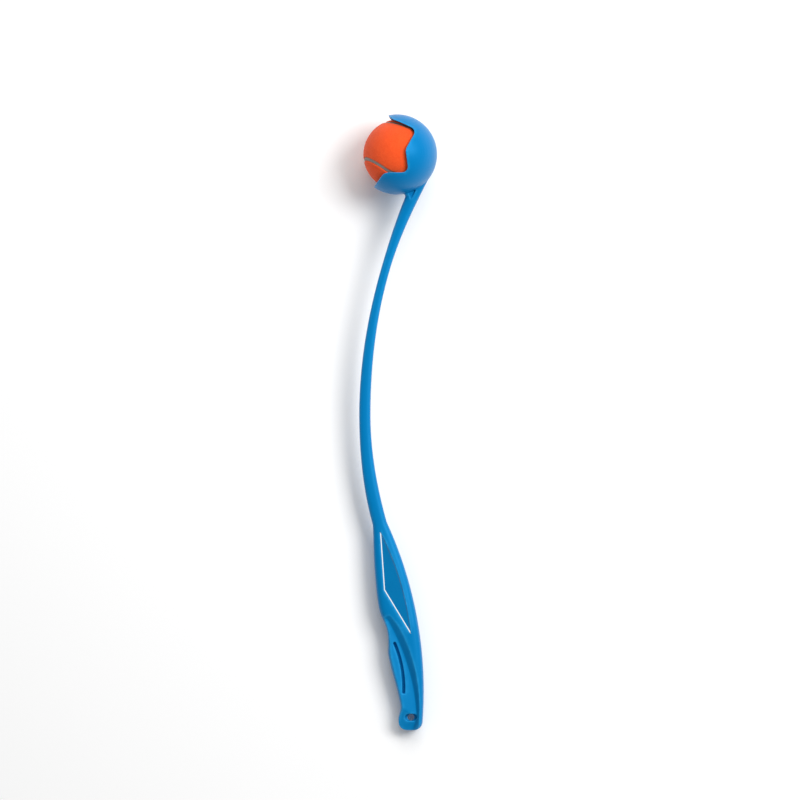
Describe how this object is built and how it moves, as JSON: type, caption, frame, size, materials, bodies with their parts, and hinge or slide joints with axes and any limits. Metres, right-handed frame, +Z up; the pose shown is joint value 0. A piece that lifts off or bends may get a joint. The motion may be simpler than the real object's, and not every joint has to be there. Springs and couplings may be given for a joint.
{
  "type": "dog ball launcher stick",
  "caption": "Bowed one-piece moulded throwing stick with a finger handle and a claw cup that holds and releases a felt-covered rubber ball.",
  "frame": {"origin": "centre of the hang hole in the heel of the handle, on the stick's mid-plane", "axes": "+Y along the stick from the handle to the claw, +Z up, square to the plane that the shaft is bowed in, +X to the palm side of the handle"},
  "size_m": [0.0839, 0.6619, 0.0844],
  "materials": {
    "stick_plastic": "satin moulded",
    "label_film": "printed film",
    "core_rubber": "matte",
    "ball_felt": "napped felt",
    "seam_cement": "matte"
  },
  "bodies": {
    "stick": {"stick": "stick_plastic", "handle_label": "label_film"},
    "ball": {"core_half_left": "core_rubber", "core_half_right": "core_rubber", "felt_panel_front": "ball_felt", "felt_panel_back": "ball_felt", "felt_seam": "seam_cement"}
  },
  "joints": [
    {"name": "ball_release", "type": "slide", "parent": "stick", "child": "ball", "axis": [-0.9816, 0.1908, 0], "range_m": [0, 0.1]}
  ]
}
